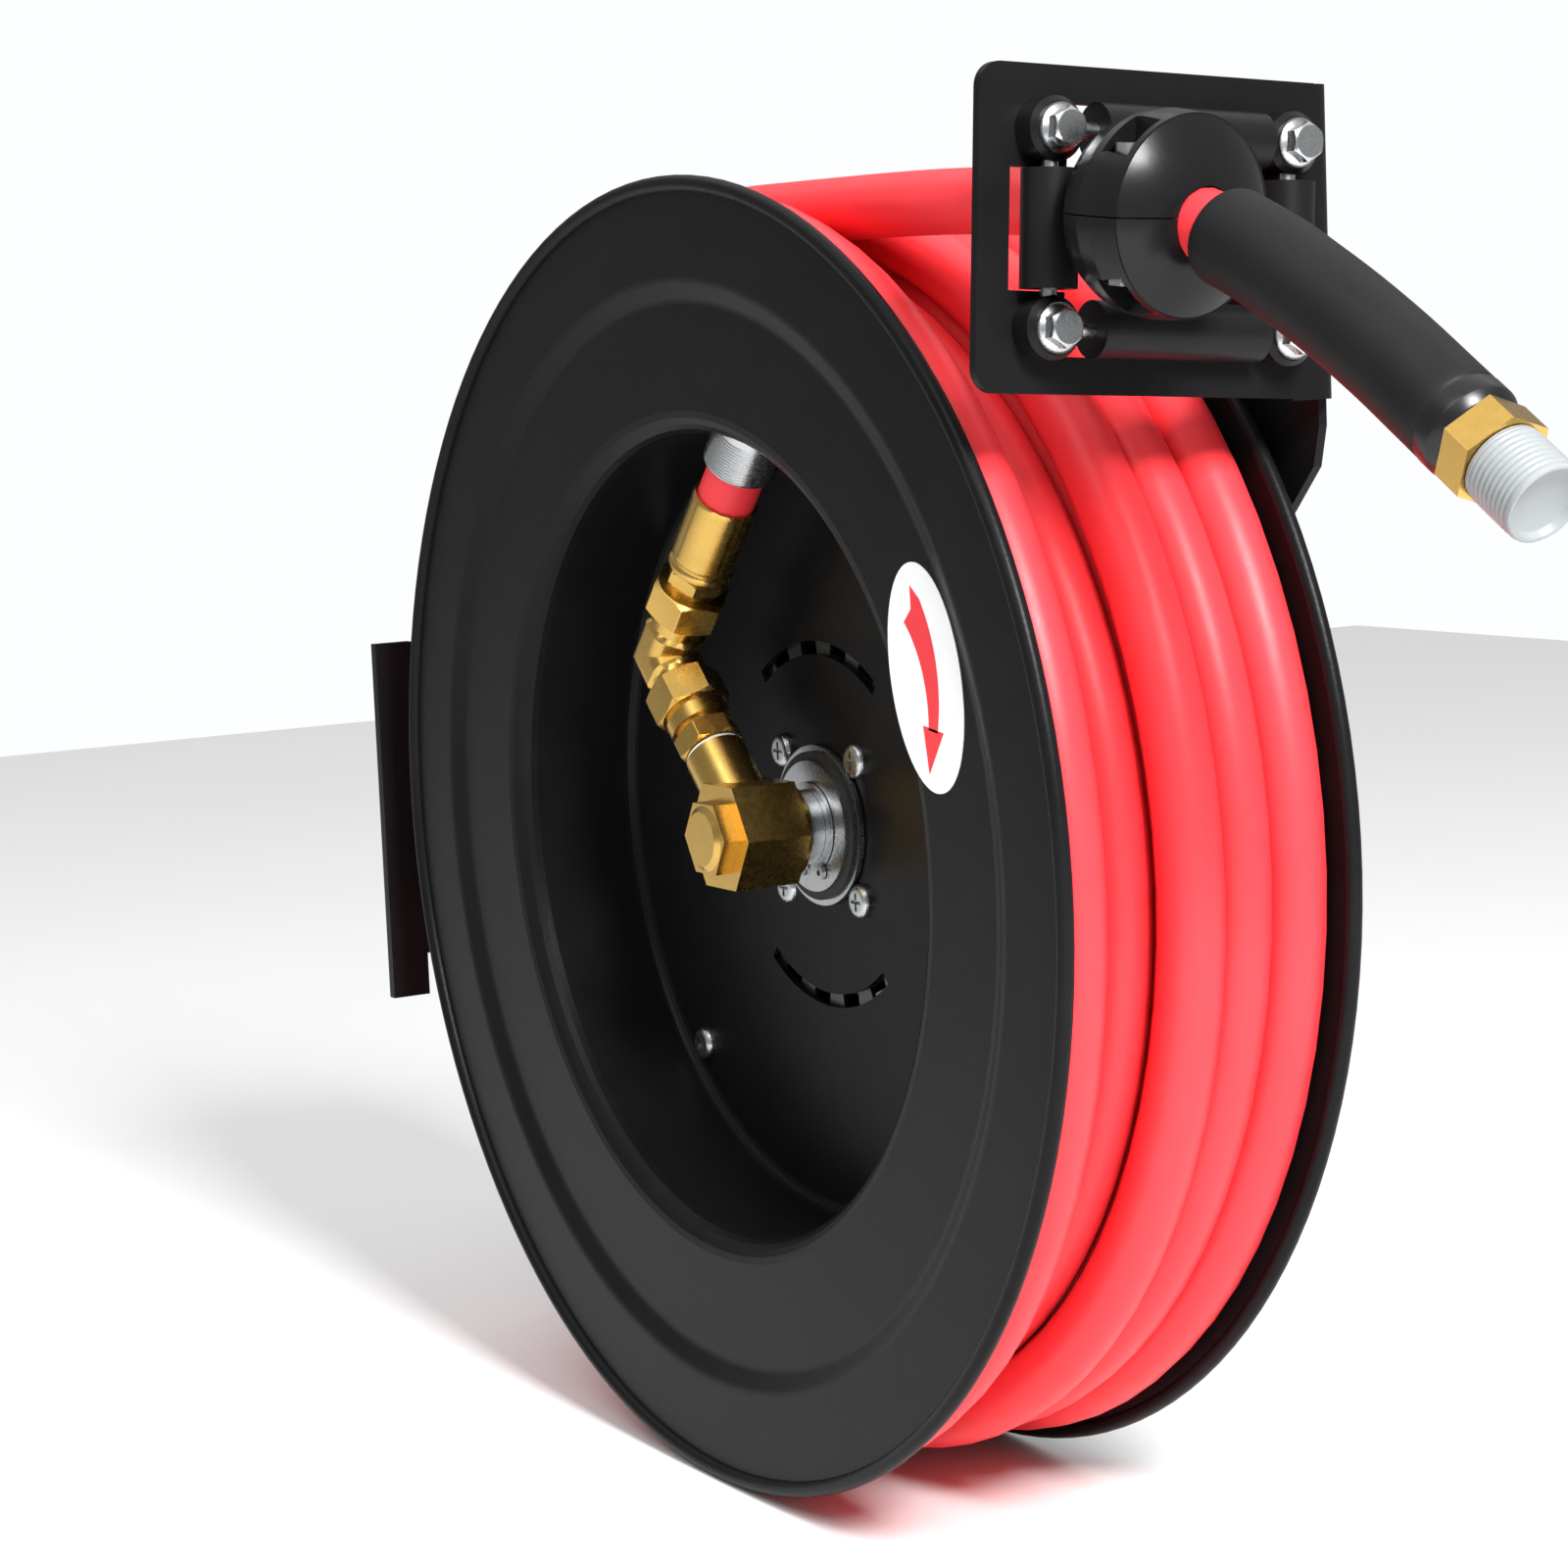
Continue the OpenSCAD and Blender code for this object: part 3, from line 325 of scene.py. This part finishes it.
# ---------------------------------------------------------------- finishes
def finish_of(
    name, color, rough, metal=0.0, grain=300.0, bump=0.02, vary=0.12, streak=None, ior=1.5, see=0.0, spec=0.5
):
    """A finish whose colour and roughness vary slightly over the piece, with a fine bump."""
    m = bpy.data.materials.new(name)
    m.use_nodes = True
    t = m.node_tree
    t.nodes.clear()
    out = t.nodes.new("ShaderNodeOutputMaterial")
    b = t.nodes.new("ShaderNodeBsdfPrincipled")
    t.links.new(b.outputs[0], out.inputs[0])
    b.inputs["Metallic"].default_value = metal
    b.inputs["IOR"].default_value = ior
    b.inputs["Specular IOR Level"].default_value = spec
    b.inputs["Transmission Weight"].default_value = see
    where = t.nodes.new("ShaderNodeTexCoord")
    stretch = t.nodes.new("ShaderNodeMapping")
    stretch.inputs["Scale"].default_value = streak or (1, 1, 1)
    t.links.new(where.outputs["Object"], stretch.inputs[0])
    broad = t.nodes.new("ShaderNodeTexNoise")
    broad.inputs["Scale"].default_value = grain * 0.06
    broad.inputs["Detail"].default_value = 3
    t.links.new(stretch.outputs[0], broad.inputs["Vector"])
    fine = t.nodes.new("ShaderNodeTexNoise")
    fine.inputs["Scale"].default_value = grain
    fine.inputs["Detail"].default_value = 2
    t.links.new(stretch.outputs[0], fine.inputs["Vector"])
    tint = t.nodes.new("ShaderNodeValToRGB")
    tint.color_ramp.elements[0].position = 0.3
    tint.color_ramp.elements[1].position = 0.7
    tint.color_ramp.elements[0].color = (*[c * (1 - vary) for c in color], 1)
    tint.color_ramp.elements[1].color = (*[min(1, c * (1 + vary)) for c in color], 1)
    t.links.new(broad.outputs["Fac"], tint.inputs[0])
    t.links.new(tint.outputs[0], b.inputs["Base Color"])
    span = t.nodes.new("ShaderNodeMapRange")
    span.inputs["To Min"].default_value = rough * 0.85
    span.inputs["To Max"].default_value = min(1.0, rough * 1.18)
    t.links.new(fine.outputs["Fac"], span.inputs["Value"])
    t.links.new(span.outputs[0], b.inputs["Roughness"])
    rise = t.nodes.new("ShaderNodeBump")
    rise.inputs["Strength"].default_value = bump
    rise.inputs["Distance"].default_value = 0.0006
    t.links.new(fine.outputs["Fac"], rise.inputs["Height"])
    t.links.new(rise.outputs[0], b.inputs["Normal"])
    return m


FINISH = {
    "black_powder_coat": finish_of(
        "black_powder_coat", (0.006, 0.006, 0.0065), 0.36, grain=900, bump=0.1, spec=0.1
    ),
    "post_black": finish_of("post_black", (0.006, 0.006, 0.006), 0.34, grain=700, bump=0.06, spec=0.14),
    "zinc_steel": finish_of("zinc_steel", (0.46, 0.47, 0.48), 0.27, 1, grain=500, bump=0.03, vary=0.12),
    "turned_steel": finish_of(
        "turned_steel", (0.5, 0.51, 0.52), 0.28, 1, grain=500, bump=0.05, streak=(1, 6, 1)
    ),
    "galvanised_sheet": finish_of(
        "galvanised_sheet", (0.12, 0.125, 0.13), 0.42, 1, grain=260, bump=0.04, vary=0.2
    ),
    "spring_steel": finish_of("spring_steel", (0.2, 0.21, 0.24), 0.3, 1, grain=400, bump=0.04),
    "brass": finish_of("brass", (0.6, 0.38, 0.1), 0.27, 1, grain=420, bump=0.02, vary=0.12),
    "red_rubber": finish_of(
        "red_rubber", (0.84, 0.04, 0.05), 0.42, grain=600, bump=0.03, vary=0.05, spec=0.28
    ),
    "sleeve_rubber": finish_of(
        "sleeve_rubber", (0.007, 0.007, 0.007), 0.52, grain=800, bump=0.08, spec=0.18
    ),
    "black_rubber": finish_of("black_rubber", (0.012, 0.012, 0.012), 0.6, grain=500, bump=0.06),
    "roller_nylon": finish_of(
        "roller_nylon", (0.006, 0.006, 0.0065), 0.38, grain=500, bump=0.05, spec=0.16
    ),
    "ball_plastic": finish_of(
        "ball_plastic", (0.006, 0.006, 0.0065), 0.24, grain=260, bump=0.05, spec=0.2
    ),
    "ring_plastic": finish_of(
        "ring_plastic", (0.006, 0.006, 0.0065), 0.3, grain=300, bump=0.02, spec=0.35
    ),
    "bush_nylon": finish_of("bush_nylon", (0.72, 0.7, 0.62), 0.5, grain=300, bump=0.03),
    "cap_plastic": finish_of(
        "cap_plastic", (0.33, 0.35, 0.36), 0.36, grain=200, bump=0.03, vary=0.05, see=0.3, ior=1.45
    ),
    "label_film": finish_of("label_film", (0.86, 0.86, 0.86), 0.4, grain=200, bump=0.01, vary=0.02),
}
RED_INK = finish_of("label_ink", (0.8, 0.025, 0.035), 0.4, grain=300, bump=0.01, vary=0.04)
SLOT = {p["node"]: p["material_slot"] for p in frame["record"]["subparts"]}


def dress(obj, slot, body):
    obj.data.materials.clear()
    obj.data.materials.append(FINISH[slot])
    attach(obj, body)
    return obj


for node, obj in NODES.items():
    obj.data.materials.clear()
    obj.data.materials.append(FINISH[SLOT[node]])

dress(winding, "red_rubber", "drum")
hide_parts("hose_winding", "hose_stub")
dress(free_hose, "red_rubber", "frame")
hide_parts("hose_leadout")


# ---------------------------------------------------------------- sleeve, ring, brass end and cap
def arc_points(points, x0):
    return [p for p in points if p.x > x0]


sleeve_line = along(arc_points(free_points, AXLE.x + 0.2525))
sleeve_len = line_length([f[0] for f in sleeve_line])
R = 0.0136
sleeve_profile = [(0.0, 0.0104), (0.0001, 0.0128), (0.0006, 0.0134), (0.0015, R)]
sleeve_profile += [(0.0015 + (sleeve_len - 0.003) * k / 36, R) for k in range(1, 37)]
sleeve_profile += [(sleeve_len - 0.0008, R - 0.0002), (sleeve_len, R - 0.0006), (sleeve_len, 0.0104)]
sleeve = skin("sleeve", sleeve_rings(sleeve_line, sleeve_profile), caps=False)
dress(sleeve, "sleeve_rubber", "frame")
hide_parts("bend_sleeve")

END = rel(348.4, -22, 135.6)
PITCH = math.radians(33)
end_frame = axis_frame(END, (math.cos(PITCH), 0, -math.sin(PITCH)))


def rounded(points, r=0.5):
    """Corners of a closed section cut twice, so that edges catch the light."""
    out = []
    n = len(points)
    for i, p in enumerate(points):
        a, b = Vector(points[i - 1]), Vector(points[(i + 1) % n])
        p = Vector(p)
        da, db = (a - p), (b - p)
        ka, kb = min(r, da.length * 0.45), min(r, db.length * 0.45)
        pa, pb = p + da.normalized() * ka, p + db.normalized() * kb
        mid = (pa + pb) * 0.25 + p * 0.5
        out += [tuple(pa), tuple(mid), tuple(pb)]
    return out


collar_section = [(0.05, 10.1), (0.05, 13.75), (5.6, 13.75), (8.9, 12.2), (8.9, 10.1)]
ring = turned_ring(end_frame, rounded(collar_section, 0.45), "sleeve_collar")
dress(ring, "ring_plastic", "frame")
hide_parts("sleeve_ring")


def cap_ribs(z, a, r):
    if r < 10.9 or z > 35.2 or z < 20.5:
        return 0
    return 0.16 * math.cos(2 * math.pi * z / 1.8)


cap_section = [(19.3, 10.55), (19.3, 11.2), (20.2, 11.4)]
cap_section += [(20.2 + 15.2 * k / 60, 11.3) for k in range(61)]
cap_section += [
    (36.4, 11.35), (37.2, 11.1), (37.4, 10.6), (37.2, 10.0), (36.4, 9.7), (35.4, 9.3), (35.0, 8.6),
    (34.9, 0.02), (34.3, 0.02), (34.3, 10.55),
]
cap = turned_ring(end_frame, cap_section, "end_cap", n=80, wobble=cap_ribs)
dress(cap, "cap_plastic", "frame")
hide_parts("thread_cap")

# ---------------------------------------------------------------- hose entry: grommet and ferrule
entry_dir = Vector((math.cos(math.radians(ENTRY)), 0, math.sin(math.radians(ENTRY))))
entry_frame = axis_frame(rel(ELBOW[0], TRAIN_Y, ELBOW[1]), entry_dir)


def fine_thread(z, a, r):
    return 0.14 * math.cos(2 * math.pi * z / 1.1) if r > 12 and 87 < z < 101 else 0


grommet_section = [(86, 10.05), (86, 12.0), (86.5, 12.3)]
grommet_section += [(86.6 + 17.4 * k / 120, 12.35) for k in range(121)]
grommet_section += [(104.2, 10.05)]
grommet = turned_ring(entry_frame, grommet_section, "hose_grommet", n=64, wobble=fine_thread)
dress(grommet, "zinc_steel", "drum")
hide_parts("wall_grommet")


def hex_radius(across, a, edge):
    """Radius of a hexagon whose corners are turned off towards its ends."""
    k = (a + math.pi / 6) % (math.pi / 3) - math.pi / 6
    return min(across / 2 / math.cos(k), across / 2 - 0.2 + 1.7 * edge)


def crimp(z, a, r):
    if 10.15 < r < 10.25 and z <= 40:
        return hex_radius(18, a, min(z - 34, 40 - z)) - r
    if r < 10.8 or z < 47:
        return 0
    return -0.22 * max(0.0, math.cos(8 * a)) ** 6


ferrule_section = [(34.0, 4.6)] + [(34.0 + 6 * k / 12, 10.2) for k in range(13)]
ferrule_section += [
    (40.1, 9.2), (41.0, 9.2), (41.0, 10.9), (41.6, 11.25), (42.9, 11.3), (43.6, 10.9),
    (44.1, 10.5), (44.9, 10.45), (45.6, 10.9), (46.6, 11.15),
]
ferrule_section += [(47 + 23.8 * k / 16, 11.15) for k in range(17)]
ferrule_section += [(71.6, 11.0), (72.0, 10.7), (72.0, 10.05), (46.0, 10.05), (45.6, 4.6)]
ferrule = turned_ring(entry_frame, ferrule_section, "ferrule_sleeve", n=96, wobble=crimp)
dress(ferrule, "brass", "drum")
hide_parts("hose_ferrule")
outlet_dir = Vector((math.cos(math.radians(OUTLET)), 0, math.sin(math.radians(OUTLET))))
outlet_frame = axis_frame(rel(0, TRAIN_Y, 0), outlet_dir)
# A thin off-white ring round the outlet arm, next to the first hex of the elbow.
white_ring_section = rounded([(34.05, 8.55), (34.05, 9.9), (35.3, 9.9), (35.3, 8.55)], 0.3)
white_ring = turned_ring(outlet_frame, white_ring_section, "outlet_white_ring")
dress(white_ring, "bush_nylon", "drum")


def elbow_rings():
    """A forged elbow: hexagonal arms that meet in a mitre, with round ends."""
    y = Vector((0, 1, 0))
    corner = rel(ELBOW[0], TRAIN_Y, ELBOW[1])
    n1, n2 = y.cross(outlet_dir), y.cross(entry_dir)
    mid = (n1 + n2).normalized()
    mid = mid / mid.dot(n1)

    def ring(centre, normal, across, round_r):
        pts = []
        for k in range(72):
            a = 2 * math.pi * k / 72
            q = min(hex_radius(across, a + math.pi / 6, 9), across / 2 + 0.75) if across else round_r
            pts.append(centre + (normal * math.cos(a) + y * math.sin(a)) * q * 0.001)
        return pts

    rings = [ring(corner + outlet_dir * (s - ELBOW_REACH) * 0.001, n1, *w) for s, w in (
        (65, (0, 5)), (65, (0, 9)), (68, (0, 9)), (68.8, (18.2, 0)), (69.8, (19.6, 0)), (73, (19.6, 0)))]
    rings.append(ring(corner, mid, 19.6, 0))
    rings += [ring(corner + entry_dir * s * 0.001, n2, *w) for s, w in (
        (6, (19.6, 0)), (12, (19.6, 0)), (13, (18.2, 0)), (13.8, (0, 9)), (20, (0, 9)), (20, (0, 5)))]
    return rings


elbow = skin("elbow_body", elbow_rings(), caps=True, sharp=22)
dress(elbow, "brass", "drum")
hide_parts("elbow")

# ---------------------------------------------------------------- arrow printed on the label
LABEL_A = 23.6


def arrow_outline():
    """A curved, tapering arrow with a swallow tail, in the label's own millimetres."""
    bend = 45.0

    def at(q, degrees):
        a = math.radians(degrees)
        return ((bend + q) * math.cos(a) - bend + 3.0, -(bend + q) * math.sin(a))

    left, right = [], []
    for k in range(25):
        w = 5.7 - 3.3 * k / 24
        left.append(at(-w, -27 + 48 * k / 24))
        right.append(at(w, -27 + 48 * k / 24))
    return left + right + [at(-5.6, 20), at(5.6, 20), at(1.2, 37.5), (-2.2, 20.9), (-0.9, 27.9)]


def flat_mark(name, outline_faces, points, lift):
    """A print a fraction of a millimetre off the flange, placed by the label's own axes."""
    lean = math.radians(12)
    centre = Vector((154 * math.cos(math.radians(LABEL_A)), 154 * math.sin(math.radians(LABEL_A))))
    verts = []
    for x, z in points:
        u = x * math.cos(lean) - z * math.sin(lean)
        w = x * math.sin(lean) + z * math.cos(lean)
        verts.append(rel(centre.x + u, -lift, centre.y + w))
    return mesh_piece(name, verts, outline_faces)


points = arrow_outline()
n = 25
faces = [(k, k + 1, n + k + 1, n + k) for k in range(n - 1)]
faces += [(0, n, 2 * n + 3), (2 * n + 3, n, 2 * n + 4), (2 * n, 2 * n + 2, 2 * n + 1)]
arrow = flat_mark("label_arrow", faces, points, 48.5 + 0.25 + 0.06)
for poly in arrow.data.polygons:
    poly.use_smooth = False
arrow.data.materials.append(RED_INK)
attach(arrow, "drum")

# ---------------------------------------------------------------- floor and light
floor_mesh = bpy.data.meshes.new("floor")
low = cad_box[0][2] - 0.0005
side = 2.2
corners = [(-side, -side, low), (side, -side, low), (side, side, low), (-side, side, low)]
floor_mesh.from_pydata(corners, [], [(0, 1, 2, 3)])
floor = link(bpy.data.objects.new("floor", floor_mesh))
floor_mesh.materials.append(finish_of("floor_paper", (0.86, 0.86, 0.86), 0.8, grain=40, bump=0.0, vary=0.01))

world = bpy.data.worlds.new("world")
bpy.context.scene.world = world
world.use_nodes = True
sky = world.node_tree.nodes["Background"]
sky.inputs[0].default_value = (0.98, 0.99, 1, 1)
path = world.node_tree.nodes.new("ShaderNodeLightPath")
glow = world.node_tree.nodes.new("ShaderNodeMapRange")
glow.inputs["To Min"].default_value = 0.35
glow.inputs["To Max"].default_value = 1.0
world.node_tree.links.new(path.outputs["Is Camera Ray"], glow.inputs["Value"])
world.node_tree.links.new(glow.outputs[0], sky.inputs[1])


def lamp(name, where, size, power, aim=(0.25, -0.02, 0.05)):
    data = bpy.data.lights.new(name, "AREA")
    data.shape = "RECTANGLE"
    data.size, data.size_y = size
    data.energy = power
    obj = link(bpy.data.objects.new(name, data))
    at = Vector(where)
    obj.matrix_world = Matrix.Translation(at) @ (Vector(aim) - at).to_track_quat("-Z", "Y").to_matrix().to_4x4()


lamp("key", (0.9, -1.1, 1.4), (0.9, 0.9), 9)
lamp("side", (1.71, -0.2, 1.06), (0.45, 0.45), 58)
lamp("top", (-0.5, 0.5, 6.0), (12.0, 12.0), 330)
